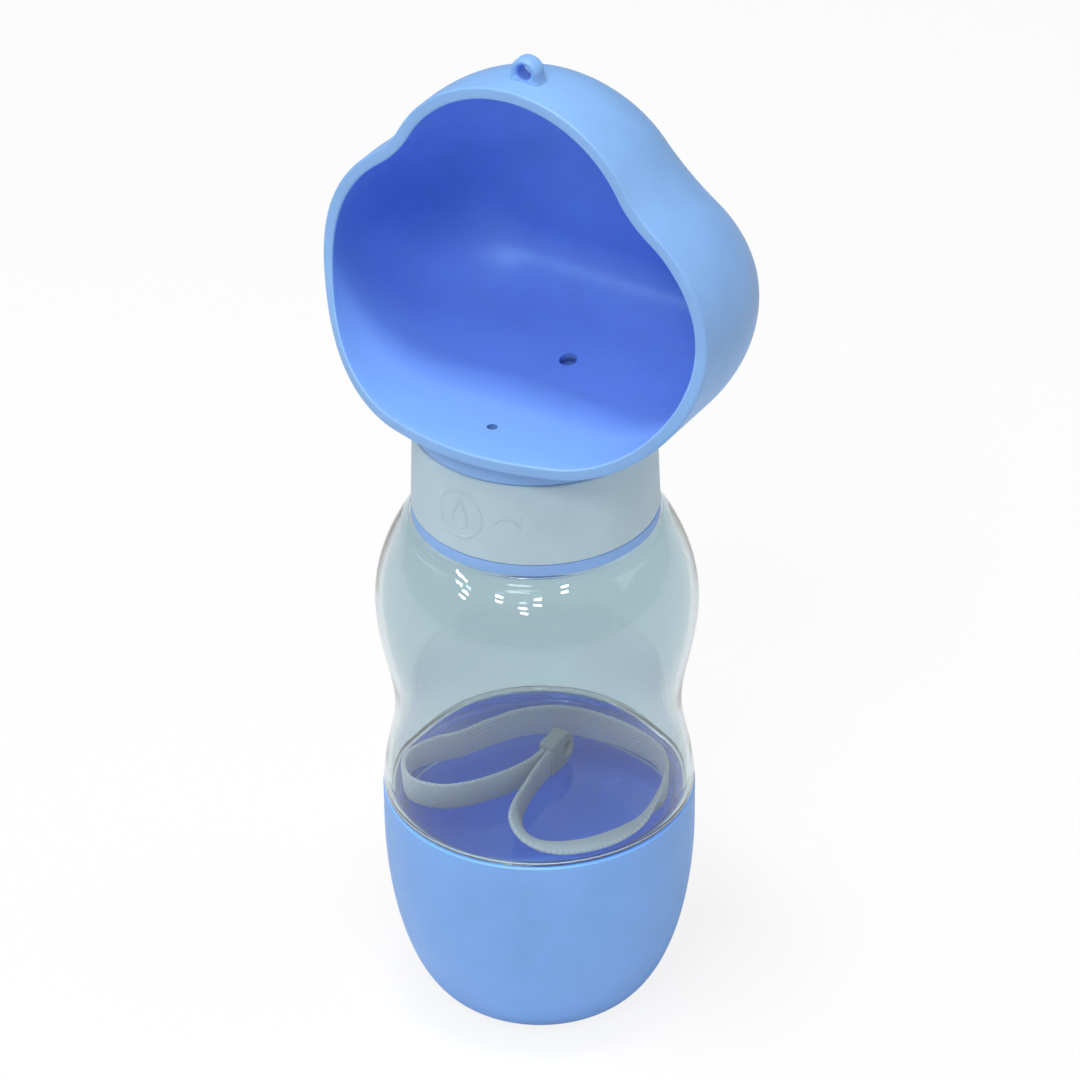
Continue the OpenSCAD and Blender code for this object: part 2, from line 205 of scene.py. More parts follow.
# %% Turned shapes
def turned(name, outline, sides=160, thread=None, crisp=38):
    points, rings, faces = [], [], []
    for r, z in outline:
        if r < 1e-6:
            rings.append([len(points)] * sides)
            points.append((0, 0, z))
            continue
        rings.append(list(range(len(points), len(points) + sides)))
        for k in range(sides):
            a = 2 * math.pi * k / sides
            swell = thread(r, z, a) if thread else 0
            points.append(((r + swell) * math.cos(a), (r + swell) * math.sin(a), z))
    for this, following in zip(rings, rings[1:] + rings[:1]):
        for k in range(sides):
            j = (k + 1) % sides
            face = [this[k], this[j], following[j], following[k]]
            faces.append(list(dict.fromkeys(face)))
    return new_mesh(name, points, faces, crisp)


# %% Threads
RUN_OUT = 1.2


def thread_ridge(wall_r, low, high, pitch, height, width, phase=0.0):
    """A ridge that climbs round the wall of radius wall_r between low and high; both ends run out"""

    def swell(r, z, a):
        if abs(r - wall_r) > 0.06 or not low < z < high:
            return 0
        turns = (z - low) / pitch - a / (2 * math.pi) + phase
        off = abs(turns - round(turns)) * pitch
        fade = min(1, (z - low) / RUN_OUT, (high - z) / RUN_OUT)
        crest = min(1, max(0, 1.6 * (1 - 2 * off / width)))
        return height * fade * crest * crest * (3 - 2 * crest)

    return swell


# %% [markdown]
# ## The strap in the bottle
# The bottle comes with its wrist strap dropped inside: flat grey webbing about 7 mm wide. It
# could be a curve with a bevel, but flat webbing has a width that leans and twists along the
# way, so it is a mesh: a thin rounded section carried along a smooth route. The route's points
# are the solid model's own, so the strap lies where the solid lies. Texture coordinates run
# along and across it, and the weave follows them.

# %% The strap's route
strap_route = [
    (-0.75, 3, 58.7, 0, 90),
    (-1.3, -2, 58.7, 0, 90),
    (-3.4, -8.5, 58.7, 0, 90),
    (-6, -13.5, 58.7, 0, 90),
    (-8.8, -17.8, 58.7, 0, 90),
    (-13, -21.6, 58.7, 0, 90),
    (-19.6, -22.6, 58.7, 0, 90),
    (-24.7, -18.6, 58.7, 0, 90),
    (-26.8, -12.4, 58.7, 0, 90),
    (-25, -6.2, 58.7, 0, 90),
    (-20.8, -0.8, 58.7, 0, 90),
    (-17.6, 5.5, 58.7, 0, 90),
    (-13, 12.5, 58.7, 0, 90),
    (-6, 18.2, 58.7, 0, 90),
    (3, 21, 58.7, 0, 90),
    (12, 21.3, 58.7, 0, 90),
    (20, 18.8, 58.7, 5, 90),
    (26, 13, 58.7, 10, 90),
    (29.4, 5.8, 58.7, 10, 88),
    (30.1, -0.8, 58.6, -2, 66),
    (29.7, -7.2, 57.7, -14, 36),
    (27.4, -13.3, 57, -26, 21),
    (23.6, -18.8, 56.75, -38, 17),
    (18.6, -23, 56.8, -60, 18),
    (13.1, -24.6, 57.5, -88, 32),
    (8.2, -22.4, 58.4, -130, 56),
    (5, -17.3, 58.7, -155, 80),
    (3, -10.5, 58.7, -165, 90),
    (1.5, -3.5, 58.7, -170, 90),
    (0.75, 3, 58.7, -170, 90),
]


def between(p0, p1, p2, p3, t):
    return tuple(
        0.5 * (2 * b + (c - a) * t + (2 * a - 5 * b + 4 * c - d) * t * t + (3 * b - a - 3 * c + d) * t**3)
        for a, b, c, d in zip(p0, p1, p2, p3)
    )


def smooth_line(points, steps):
    last = len(points) - 1
    out = []
    for i in range(last):
        ends = points[max(i - 1, 0)], points[i], points[i + 1], points[min(i + 2, last)]
        out += [between(*ends, k / steps) for k in range(steps)]
    return out + [points[last]]


strap_line = smooth_line(strap_route, 8)

# %% The strap's webbing
STRAP_WIDE = 7.0
STRAP_THICK = 1.1


def strap_section(count=14):
    """A flat section with round edges, as (across, through) pairs"""
    out = []
    half_w, half_t = STRAP_WIDE / 2, STRAP_THICK / 2
    for side in (1, -1):
        centre = side * (half_w - half_t)
        for k in range(count // 2):
            a = math.radians(-90 + 180 * k / (count // 2 - 1))
            out.append((centre + side * half_t * math.cos(a), side * half_t * math.sin(a)))
    return out


def make_strap():
    section = strap_section()
    points, marks = [], []
    travelled = 0
    for i, here in enumerate(strap_line):
        ahead = Vector(strap_line[min(i + 1, len(strap_line) - 1)][:3])
        behind = Vector(strap_line[max(i - 1, 0)][:3])
        along = (ahead - behind).normalized()
        travelled += (Vector(here[:3]) - Vector(strap_line[max(i - 1, 0)][:3])).length
        head, lean = math.radians(here[3]), math.radians(here[4])
        wide = Vector((math.cos(head) * math.cos(lean), math.sin(head) * math.cos(lean), math.sin(lean)))
        wide = (wide - along * wide.dot(along)).normalized()
        thick = along.cross(wide)
        for w, t in section:
            points.append(Vector(here[:3]) + wide * w + thick * t)
            marks.append((travelled, w))
    size = len(strap_line), len(section)
    strap = new_mesh("strap_webbing", points, skin(*size) + end_caps(*size), crisp=60)
    layer = strap.data.uv_layers.new(name="weave")
    for loop in strap.data.loops:
        layer.data[loop.index].uv = marks[loop.vertex_index]
    return strap


strap = make_strap()

# %% [markdown]
# ## The strap's clasp
# Both ends of the webbing are clamped in a small moulded clasp with an eye in its round end.
# It is cut from a flat outline, the eye is drilled, and a bevel modifier rounds its edges as
# the mould does.

# %% The clasp
def extruded(name, outline, thick):
    """A block across X from an outline of (y, z) points"""
    points = [(x, y, z) for x in (-thick / 2, thick / 2) for y, z in outline]
    return new_mesh(name, points, end_caps(2, len(outline)) + skin(2, len(outline)))


def plate(name, outline, thick, eye, bevel):
    """A flat plate across X with soft edges and one round hole, given as (y, z, radius)"""
    piece = extruded(name, outline, thick)
    y, z, radius = eye
    cut_round(piece, (-thick, y, z), (thick, y, z), radius)
    rounding = piece.modifiers.new("edges", "BEVEL")
    rounding.width = bevel * MM
    rounding.segments = 4
    rounding.angle_limit = math.radians(50)
    bake(piece)
    return piece


def bake(piece, crisp=38):
    """Applies a piece's modifiers and shades it again"""
    depsgraph = bpy.context.evaluated_depsgraph_get()
    mesh = bpy.data.meshes.new_from_object(piece.evaluated_get(depsgraph))
    piece.modifiers.clear()
    piece.data = mesh
    bm = bmesh.new()
    bm.from_mesh(mesh)
    smooth_shading(bm, crisp)
    bm.to_mesh(mesh)
    bm.free()


def subtract(piece, tool):
    """Cuts one object out of another and throws the tool away"""
    cut = piece.modifiers.new("cut", "BOOLEAN")
    cut.object = tool
    cut.operation = "DIFFERENCE"
    cut.solver = "EXACT"
    bake(piece)
    bpy.data.objects.remove(tool)


def cut_round(piece, start, end, radius):
    """Drills a round hole from start to end (mm)"""
    axis = Vector(end) - Vector(start)
    turn_to = axis.to_track_quat("Z", "Y").to_matrix().to_4x4()
    bm = bmesh.new()
    bmesh.ops.create_cone(
        bm,
        cap_ends=True,
        segments=48,
        radius1=radius * MM,
        radius2=radius * MM,
        depth=axis.length * MM,
        matrix=Matrix.Translation((Vector(start) + axis / 2) * MM) @ turn_to,
    )
    mesh = bpy.data.meshes.new("drill")
    bm.to_mesh(mesh)
    bm.free()
    drill = bpy.data.objects.new("drill", mesh)
    bpy.context.scene.collection.objects.link(drill)
    subtract(piece, drill)


CLASP_FROM_Y, CLASP_TO_Y, CLASP_Z, CLASP_R = 3.05, 8.55, 59.25, 4.15


def clasp_outline():
    """A straight-sided plate with one round end, as (y, z) points"""
    low, high = CLASP_Z - CLASP_R, CLASP_Z + CLASP_R
    out = [(CLASP_FROM_Y, low), (CLASP_TO_Y, low)]
    out += [on_circle((CLASP_TO_Y, CLASP_Z), CLASP_R, a) for a in range(-80, 90, 10)]
    return out + [(CLASP_TO_Y, high), (CLASP_FROM_Y, high)]


clasp = plate("clasp", clasp_outline(), thick=3.8, eye=(CLASP_TO_Y + 1, CLASP_Z, 1.6), bevel=0.5)

# %% [markdown]
# ## Finishes
# Everything is moulded plastic, silicone or webbing. A moulded surface is never perfectly even:
# it has a very fine grain from the mould, slow waves where the plastic shrank, and small
# changes of gloss. Noise textures in object coordinates give all three at their real size, so
# no finish is one flat colour, and nothing depends on where the camera stands. The bowl and
# the cup are glossier inside, so each has two finishes. Their deeper blue inside is painted:
# painted shade that grows towards the back of the bowl's hollow, and painted light in the cup,
# standing in for the light through its thin blue wall. Their highlights inside are tinted blue
# as a painted reflection of the blue walls.

# %% Finishes: helpers
def shade(name):
    material = bpy.data.materials.new(name)
    material.use_nodes = True
    nodes = material.node_tree.nodes
    return material, nodes, material.node_tree.links, nodes["Principled BSDF"]


def noise(nodes, links, where, scale, detail=3.0, rough=0.5):
    texture = nodes.new("ShaderNodeTexNoise")
    texture.inputs["Scale"].default_value = scale
    texture.inputs["Detail"].default_value = detail
    texture.inputs["Roughness"].default_value = rough
    links.new(where, texture.inputs["Vector"])
    return texture.outputs["Fac"]


def spread(nodes, links, value, low, high):
    """Stretches a noise value, mostly 0.3 to 0.7, over low to high"""
    node = nodes.new("ShaderNodeMapRange")
    node.inputs["From Min"].default_value = 0.3
    node.inputs["From Max"].default_value = 0.7
    node.inputs["To Min"].default_value = low
    node.inputs["To Max"].default_value = high
    links.new(value, node.inputs["Value"])
    return node.outputs["Result"]


def blend_colours(nodes, links, share, first, second):
    node = nodes.new("ShaderNodeMix")
    node.data_type = "RGBA"
    node.inputs["A"].default_value = (*first, 1)
    node.inputs["B"].default_value = (*second, 1)
    links.new(share, node.inputs["Factor"])
    return node.outputs["Result"]


def bumps(nodes, links, shader, layers):
    """layers are (height value, distance in mm, strength), stacked one on the other"""
    last = None
    for height, distance, strength in layers:
        node = nodes.new("ShaderNodeBump")
        node.inputs["Strength"].default_value = strength
        node.inputs["Distance"].default_value = distance * MM
        links.new(height, node.inputs["Height"])
        if last:
            links.new(last, node.inputs["Normal"])
        last = node.outputs["Normal"]
    links.new(last, shader.inputs["Normal"])


def linear(red, green, blue):
    """A colour written as 0 to 255 screen values, as the shader wants it"""
    return tuple(
        (v / 255 / 12.92) if v <= 10 else ((v / 255 + 0.055) / 1.055) ** 2.4 for v in (red, green, blue)
    )


# %% Finishes: moulded plastic and silicone
SHRINK_WAVES, COLOUR_SHIFT = 0.05, 0.04
# Where the painted shade of a hollow starts (front) and where it is full (back), in mm along Y
RIM_COLOUR_Y, SHADED_COLOUR_Y = -36, 8


def moulded(name, colour, gloss_low, gloss_high, grain=0.005, rim_colour=None):
    """A moulded finish; with rim_colour it starts there at the front (-Y) and deepens inwards as painted
    shade
    """
    material, nodes, links, shader = shade(name)
    where = nodes.new("ShaderNodeTexCoord").outputs["Object"]
    fine = noise(nodes, links, where, 1800, 2)
    slow = noise(nodes, links, where, 45, 2)
    cloudy = spread(nodes, links, noise(nodes, links, where, 90, 5, 0.6), 0, 1)
    darker = tuple(c * (1 - COLOUR_SHIFT) for c in colour)
    lighter = tuple(min(1, c * (1 + COLOUR_SHIFT)) for c in colour)
    tone = blend_colours(nodes, links, cloudy, darker, lighter)
    # Painted shade: the colour runs from rim_colour at the front to the darker own colour towards the back
    if rim_colour:
        place = nodes.new("ShaderNodeSeparateXYZ")
        links.new(where, place.inputs["Vector"])
        depth = spread(nodes, links, place.outputs["Y"], 0, 1)
        depth.node.inputs["From Min"].default_value = RIM_COLOUR_Y * MM
        depth.node.inputs["From Max"].default_value = SHADED_COLOUR_Y * MM
        painted_shade_blend = nodes.new("ShaderNodeMix")
        painted_shade_blend.data_type = "RGBA"
        links.new(depth, painted_shade_blend.inputs["Factor"])
        painted_shade_blend.inputs["A"].default_value = (*rim_colour, 1)
        links.new(tone, painted_shade_blend.inputs["B"])
        tone = painted_shade_blend.outputs["Result"]
    links.new(tone, shader.inputs["Base Color"])
    gloss = spread(nodes, links, noise(nodes, links, where, 380, 4), gloss_low, gloss_high)
    links.new(gloss, shader.inputs["Roughness"])
    shader.inputs["IOR"].default_value = 1.45
    shader.inputs["Specular IOR Level"].default_value = 0.45
    bumps(nodes, links, shader, [(slow, SHRINK_WAVES, 0.5), (fine, grain, 0.5)])
    print("finish:", name)
    return material


bowl_blue = moulded("bowl_blue", (0.235, 0.45, 0.83), 0.38, 0.48)
# The bowl's inside: its darker, deeper blue is painted shade of the hollow
bowl_inside_painted_shade = moulded("bowl_inside_painted_shade", (0.165, 0.315, 0.87), 0.34, 0.42, rim_colour=(0.225, 0.45, 0.78))
cup_blue = moulded("cup_blue", (0.2, 0.42, 0.86), 0.38, 0.48)
# The cup's inside: its stronger, more saturated blue is painted light from the thin translucent wall
cup_inside_painted_light = moulded("cup_inside_painted_light", (0.075, 0.285, 0.97), 0.36, 0.44)
# Painted reflection: highlights inside are tinted blue, standing in for the blue walls they mirror
for blue_tinted_inside in (bowl_inside_painted_shade, cup_inside_painted_light):
    blue_tinted_inside.node_tree.nodes["Principled BSDF"].inputs["Specular Tint"].default_value = (0.5, 0.85, 1.0, 1)
collar_white = moulded("collar_white", linear(184, 208, 221), 0.4, 0.55)
inner_white = moulded("inner_white", linear(210, 220, 224), 0.4, 0.55)
pale_silicone = moulded("pale_silicone", linear(212, 220, 228), 0.5, 0.65, grain=0.01)
blue_silicone = moulded("blue_silicone", linear(138, 180, 238), 0.45, 0.6, grain=0.01)
clasp_grey = moulded("clasp_grey", linear(150, 164, 170), 0.4, 0.55, grain=0.012)


# %% [markdown]
# ## Clear plastic
# The bottle is clear, with a faint green-blue cast that deepens where the eye looks along the
# wall. It is a real two-sided wall, so the light bends at each face as it does in the bottle.
# A slow noise makes the blown wall slightly uneven, which breaks up what is seen through it.

# %% Finish: clear plastic
def clear_wall(name, colour):
    material, nodes, links, shader = shade(name)
    where = nodes.new("ShaderNodeTexCoord").outputs["Object"]
    slow = noise(nodes, links, where, 32, 2)
    ripple = noise(nodes, links, where, 160, 2)
    tint = spread(nodes, links, noise(nodes, links, where, 20, 3), 0, 1)
    darker = tuple(c * 0.985 for c in colour)
    links.new(blend_colours(nodes, links, tint, darker, colour), shader.inputs["Base Color"])
    haze = spread(nodes, links, noise(nodes, links, where, 240, 4), 0.01, 0.035)
    links.new(haze, shader.inputs["Roughness"])
    shader.inputs["IOR"].default_value = 1.5
    shader.inputs["Transmission Weight"].default_value = 1.0
    bumps(nodes, links, shader, [(slow, 0.12, 0.5), (ripple, 0.02, 0.4)])
    lamps_pass(nodes, links, shader)
    print("finish:", name)
    return material


def lamps_pass(nodes, links, shader):
    """Lets the lamps' light through to what stands behind the wall"""
    path = nodes.new("ShaderNodeLightPath")
    either = nodes.new("ShaderNodeMath")
    either.operation = "MAXIMUM"
    links.new(path.outputs["Is Shadow Ray"], either.inputs[0])
    links.new(path.outputs["Is Diffuse Ray"], either.inputs[1])
    through = nodes.new("ShaderNodeBsdfTransparent")
    mix = nodes.new("ShaderNodeMixShader")
    links.new(either.outputs["Value"], mix.inputs["Fac"])
    links.new(shader.outputs["BSDF"], mix.inputs[1])
    links.new(through.outputs["BSDF"], mix.inputs[2])
    links.new(mix.outputs["Shader"], nodes["Material Output"].inputs["Surface"])


clear_plastic = clear_wall("clear_plastic", (0.635, 0.742, 0.775))


# %% [markdown]
# ## Webbing
# The strap is woven from flat grey yarn. Two sine waves, one along and one across the strap,
# multiplied together, give the raised crossings of a plain weave, and a finer noise gives the
# loose fibres. The same pattern drives the colour, so the gaps between yarns are darker: painted shade.

# %% Finish: webbing
YARN_LONG, YARN_WIDE = 1.15, 0.95


def webbing(name, colour):
    material, nodes, links, shader = shade(name)
    marks = nodes.new("ShaderNodeUVMap")
    marks.uv_map = "weave"
    parts = nodes.new("ShaderNodeSeparateXYZ")
    links.new(marks.outputs["UV"], parts.inputs["Vector"])

    def math_node(kind, a, b):
        node = nodes.new("ShaderNodeMath")
        node.operation = kind
        for socket, value in zip(node.inputs, (a, b)):
            if isinstance(value, (int, float)):
                socket.default_value = value
            else:
                links.new(value, socket)
        return node.outputs["Value"]

    lengthwise = math_node("MULTIPLY", parts.outputs["X"], 2 * math.pi / YARN_LONG)
    crosswise = math_node("MULTIPLY", parts.outputs["Y"], 2 * math.pi / YARN_WIDE)
    over = math_node("SINE", lengthwise, 0)
    under = math_node("COSINE", crosswise, 0)
    crossing = math_node("MULTIPLY", over, under)
    height = math_node("ADD", math_node("MULTIPLY", crossing, 0.5), 0.5)
    fibres = noise(nodes, links, marks.outputs["UV"], 6, 5, 0.7)
    mixed = math_node("ADD", height, math_node("MULTIPLY", fibres, 0.6))
    # Painted shade: the colour in the gaps between yarns is darkened to this
    shadow = tuple(c * 0.62 for c in colour)
    tone = blend_colours(nodes, links, spread(nodes, links, mixed, -0.1, 0.6), shadow, colour)
    links.new(tone, shader.inputs["Base Color"])
    links.new(spread(nodes, links, fibres, 0.75, 0.95), shader.inputs["Roughness"])
    shader.inputs["Sheen Weight"].default_value = 0.35
    shader.inputs["Sheen Roughness"].default_value = 0.5
    bumps(nodes, links, shader, [(height, 0.18, 0.8), (fibres, 0.06, 0.6)])
    print("finish:", name)
    return material


strap_grey = webbing("strap_grey", linear(196, 210, 224))

hand_over(clasp, "bottle", "clasp_grey", clasp_grey, "strap_clasp")
hand_over(strap, "bottle", "webbing", strap_grey, "carry_strap")

# %% [markdown]
# ## The food cup
# The cup is a deep tumbler with a rounded foot. Its side is a quarter of an ellipse that runs
# up into a straight rim. The inside follows the outside at 1.9 mm, with a step for the seal
# and a coarse thread below it, and a standing ring keeps the middle of the base off the table.

# %% The food cup
CUP_FOOT_R, CUP_R, CUP_ROUND_Z = 20, 36, 46
CUP_WALL, CUP_FLOOR_Z, CUP_RIM_Z = 1.9, 2.2, 55.5


def cup_r(z):
    t = 1 - min(z, CUP_ROUND_Z) / CUP_ROUND_Z
    return CUP_FOOT_R + (CUP_R - CUP_FOOT_R) * math.sqrt(1 - t * t)


def steps_between(low, high, count):
    return [low + (high - low) * k / count for k in range(count + 1)]


def food_cup_outline():
    heights = [t * t for t in steps_between(0.09, 1, 44)]
    outside = [(cup_r(CUP_ROUND_Z * h), CUP_ROUND_Z * h) for h in heights]
    inside_heights = [CUP_FLOOR_Z + (CUP_ROUND_Z - CUP_FLOOR_Z) * h for h in heights]
    inside = [(cup_r(z - 0.88) - CUP_WALL, z) for z in inside_heights]
    corners = [(0, 0.8), (15.2, 0.8, 0.4), (16, 0, 0.3), (19.4, 0, 0.4)] + outside
    corners += [(CUP_R, CUP_RIM_Z, 0.7), (34.95, CUP_RIM_Z, 0.3), (34.95, 54, 0.15), (34.1, 54, 0.3)]
    return rounded(corners + inside[::-1] + [(0, CUP_FLOOR_Z)])


cup_thread = thread_ridge(34.1, 46.6, 53.4, 6.0, -0.55, 2.2, phase=0.5)
cup = turned("cup_shell", divided(food_cup_outline(), 46.2, 53.8, 0.3), 200, cup_thread)
hand_over(cup, "food_cup", "cup_blue", cup_blue, "food_cup")


def in_the_cup(middle, normal):
    """True for the cup's inside with its floor, and for the top of its rim"""
    from_axis = Vector((middle.x, middle.y, 0))
    on_rim = middle.z > CUP_RIM_Z - 0.4 and from_axis.length < CUP_R - 0.3
    on_floor = abs(middle.z - CUP_FLOOR_Z) < 0.1 and normal.z > 0.9
    return on_rim or on_floor or from_axis.dot(normal) < -1 and middle.z > 2


# The cup's inside and the top of its rim get the painted light of the inside finish
gloss_and_painted_light_inside(cup, cup_inside_painted_light, in_the_cup)

# %% [markdown]
# ## The clear bottle
# The bottle's wall waves in to a waist that fits the hand and swells to a round shoulder. Its
# inside is its own skin 1.6 mm in, with a flat floor and a soft corner. Below the floor the
# threaded spigot reaches into the cup, and above the shoulder the threaded neck reaches into
# the collar. It is one closed skin, as glass has to be.

# %% The bottle
BOTTLE_R, WAIST_R, SHOULDER_R, SHOULDER_END_R = 35.8, 32.8, 36.58, 28.5
BOTTLE_Z, WAIST_Z, SHOULDER_Z, SHOULDER_END_Z = 55.8, 78, 106, 129.2
BOTTLE_WALL = 1.6


def wave(a, b, t):
    return a + (b - a) * (1 - math.cos(math.pi * t)) / 2


def bottle_r(z):
    if z < WAIST_Z:
        return wave(BOTTLE_R, WAIST_R, (z - BOTTLE_Z) / (WAIST_Z - BOTTLE_Z))
    if z < SHOULDER_Z:
        return wave(WAIST_R, SHOULDER_R, (z - WAIST_Z) / (SHOULDER_Z - WAIST_Z))
    t = (z - SHOULDER_Z) / (SHOULDER_END_Z - SHOULDER_Z)
    return SHOULDER_R + (SHOULDER_END_R - SHOULDER_R) * t * t


def bottle_outline():
    outside = [(bottle_r(z), z) for z in steps_between(56.6, 128.7, 110)]
    inside = [(bottle_r(z) - BOTTLE_WALL, z) for z in steps_between(59.5, 126, 100)]
    corners = [(0, 53.2), (31.7, 53.2, 0.8), (31.7, 46.3, 0.4), (33.3, 46.3, 0.4)]
    corners += [(33.3, BOTTLE_Z, 0.25), (BOTTLE_R, BOTTLE_Z, 0.35)] + outside
    corners += [(SHOULDER_END_R, SHOULDER_END_Z, 0.3), (24, SHOULDER_END_Z, 0.4)]
    corners += [(24, 146, 0.6), (22, 146, 0.5), (22, 127.9, 1.4), (26.2, 127.3, 1.8)]
    corners += inside[::-1] + [(34.2, 58.5), (34.2, 55, 3.5), (0, 55)]
    return rounded(corners, steps=8)


neck_thread = thread_ridge(24.0, 133.2, 144.2, 4.5, 0.35, 1.7)
spigot_thread = thread_ridge(33.3, 46.8, 54.4, 6.0, 0.5, 2.2)


def bottle_threads(r, z, a):
    return neck_thread(r, z, a) + spigot_thread(r, z, a)


bottle_lines = divided(divided(bottle_outline(), 46, 55.9, 0.3), 129.3, 145.6, 0.3)
bottle = turned("bottle_wall", bottle_lines, 200, bottle_threads)
hand_over(bottle, "bottle", "clear_plastic", clear_plastic, "bottle")

# %% [markdown]
# ## Seals and gaskets
# Three silicone rings keep the water in: one in the step of the cup's rim, one on the bottle's
# mouth, and the blue one that shows as a line under the collar. Silicone is cut or moulded
# soft, so all their corners are well rounded.

# %% Silicone rings
def ring(name, inner, outer, low, high, fillet):
    corners = [(inner, low, fillet), (outer, low, fillet), (outer, high, fillet), (inner, high, fillet)]
    return turned(name, rounded(corners), 160)


cup_seal = ring("cup_seal_ring", 33.45, 34.8, 54.15, 55.65, 0.45)
hand_over(cup_seal, "cup_seal", "silicone", pale_silicone, "cup_seal")
mouth_ring = ring("mouth_gasket_ring", 22.2, 24.6, 146.15, 147.45, 0.4)
hand_over(mouth_ring, "mouth_gasket", "silicone", pale_silicone, "mouth_gasket")
neck_ring = ring("neck_gasket_ring", 24.4, 27.9, 129.22, 131.95, 0.3)
hand_over(neck_ring, "neck_gasket", "blue_silicone", blue_silicone, "neck_gasket")

# %% [markdown]
# ## The collar
# The collar is a slightly tapered band with a thread inside. Its deck holds the plate with the
# two ports, and on the back a small lug stops the bowl after a quarter turn. On the front are
# fine raised marks: a drop in a circle for water, and an arrow that shows the way to turn.
# They are thin ridges laid on the cone, so they catch the light as moulded marks do.

# %% The collar
COLLAR_LOW_Z, COLLAR_TOP_Z = 132, 152
COLLAR_LOW_R, COLLAR_TOP_R = 27.9, 27.2


def collar_r(z):
    share = (z - COLLAR_LOW_Z) / (COLLAR_TOP_Z - COLLAR_LOW_Z)
    return COLLAR_LOW_R + (COLLAR_TOP_R - COLLAR_LOW_R) * share


collar_corners = [(24.9, COLLAR_LOW_Z, 0.3), (COLLAR_LOW_R, COLLAR_LOW_Z, 0.4)]
collar_corners += [(COLLAR_TOP_R, COLLAR_TOP_Z, 0.6), (21.1, COLLAR_TOP_Z, 0.3)]
collar_corners += [(21.1, 150.7, 0.15), (23.2, 150.7, 0.2), (23.2, 149.3, 0.15), (24.9, 149.3, 0.2)]
collar_thread = thread_ridge(24.9, 133.0, 146.8, 4.5, -0.55, 1.7, phase=0.5 + 0.2 / 4.5)
collar = turned("collar_band", divided(rounded(collar_corners), 132.6, 148.9, 0.3), 180, collar_thread)
hand_over(collar, "collar", "collar_white", collar_white, "collar")


# %% The collar's stop lug
def arc_block(name, r0, r1, z0, z1, start, end, fillet=0.3, steps=18):
    """A block bent round the axis between two angles in degrees"""
    section = rounded([(r0, z0), (r1, z0), (r1, z1, fillet), (r0, z1, fillet)])
    points = []
    for k in range(steps + 1):
        a = math.radians(start + (end - start) * k / steps)
        points += [(r * math.cos(a), r * math.sin(a), z) for r, z in section]
    size = steps + 1, len(section)
    return new_mesh(name, points, skin(*size) + end_caps(*size))


lug = arc_block("stop_lug", 22.4, 24.8, 151.8, 154.2, 83, 97)
hand_over(lug, "collar", "collar_white", collar_white)


# %% Raised marks on the collar
MARK_R, MARK_SUNK, MARK_SIDES = 0.35, 0.14, 8
BAND_R = 27.5


def ridge_on_collar(name, strokes):
    """strokes are lines of (degrees round from the front, height); each becomes a thin ridge"""
    points, faces = [], []
    for line in strokes:
        closed = line[0] == line[-1]
        line = line[:-1] if closed else line
        spots = []
        for degrees, z in line:
            a = math.radians(degrees - 90)
            r = collar_r(z) - MARK_SUNK
            spots.append(Vector((r * math.cos(a), r * math.sin(a), z)))
        first = len(points)
        count = len(spots)
        for i, spot in enumerate(spots):
            ahead = spots[(i + 1) % count] if closed else spots[min(i + 1, count - 1)]
            behind = spots[i - 1] if closed else spots[max(i - 1, 0)]
            along = (ahead - behind).normalized()
            out = Vector((spot.x, spot.y, 0)).normalized()
            side = along.cross(out).normalized()
            for k in range(MARK_SIDES):
                a = 2 * math.pi * k / MARK_SIDES
                points.append(spot + side * MARK_R * math.cos(a) + out * MARK_R * math.sin(a))
        faces += skin(count, MARK_SIDES, closed, first)
        if not closed:
            faces += end_caps(count, MARK_SIDES, first)
    return new_mesh(name, points, faces, crisp=80)


def drop_line(middle, base_z, wide, tall, count=40):
    """A water drop's outline as (degrees round, height)"""
    out = []
    for k in range(count + 1):
        t = 2 * math.pi * (k % count) / count
        across = wide / 2 * math.sin(t) * math.sin(t / 2) ** 1.5
        out.append((middle + math.degrees(across / BAND_R), base_z + tall * (0.5 + 0.5 * math.cos(t))))
    return out


def circle_line(middle, centre_z, radius, start=0, end=360, count=48):
    out = []
    for k in range(count + 1):
        a = math.radians(start + (end - start) * k / count)
        across = radius * math.cos(a)
        out.append((middle + math.degrees(across / BAND_R), centre_z + radius * math.sin(a)))
    if abs(end - start) == 360:
        out[-1] = out[0]
    return out


mark_strokes = [circle_line(-5.5, 142.0, 5.6), drop_line(-5.5, 138.6, 5.2, 7.2)]
mark_strokes.append(circle_line(18.3, 140.6, 3.0, 165, 15, 20))
mark_strokes.append([(22.3, 142.6), (24.6, 141.2), (25.4, 144.0)])
marks = ridge_on_collar("collar_marks", mark_strokes)
hand_over(marks, "collar", "collar_white", collar_white)

# %% [markdown]
# ## Inside the collar
# Under the bowl sit the parts that make it a tap: the plate with two ports, the silicone pad
# that slides over it, the ring that holds the bowl down and the O-ring round the barrel. They
# are only seen when the bottle is apart, but they are made with the same care.

# %% Port plate, pad, retaining ring and O-ring
WATER_Y, AIR_Y = 14.4, -17.5
WATER_R, AIR_R = 2.0, 1.2


def drill_ports(piece, low, high, wider=0.0):
    """Drills the water port and the air port from one height to another"""
    for y, radius in ((WATER_Y, WATER_R), (AIR_Y, AIR_R)):
        cut_round(piece, (0, y, low), (0, y, high), radius + wider)


seat_corners = [(0, 147.5), (24.85, 147.5, 0.25), (24.85, 149.3, 0.2), (0, 149.3)]
seat = turned("port_plate", rounded(seat_corners), 128)
drill_ports(seat, 146, 150, wider=0.2)
hand_over(seat, "collar", "collar_white", inner_white, "valve_seat")

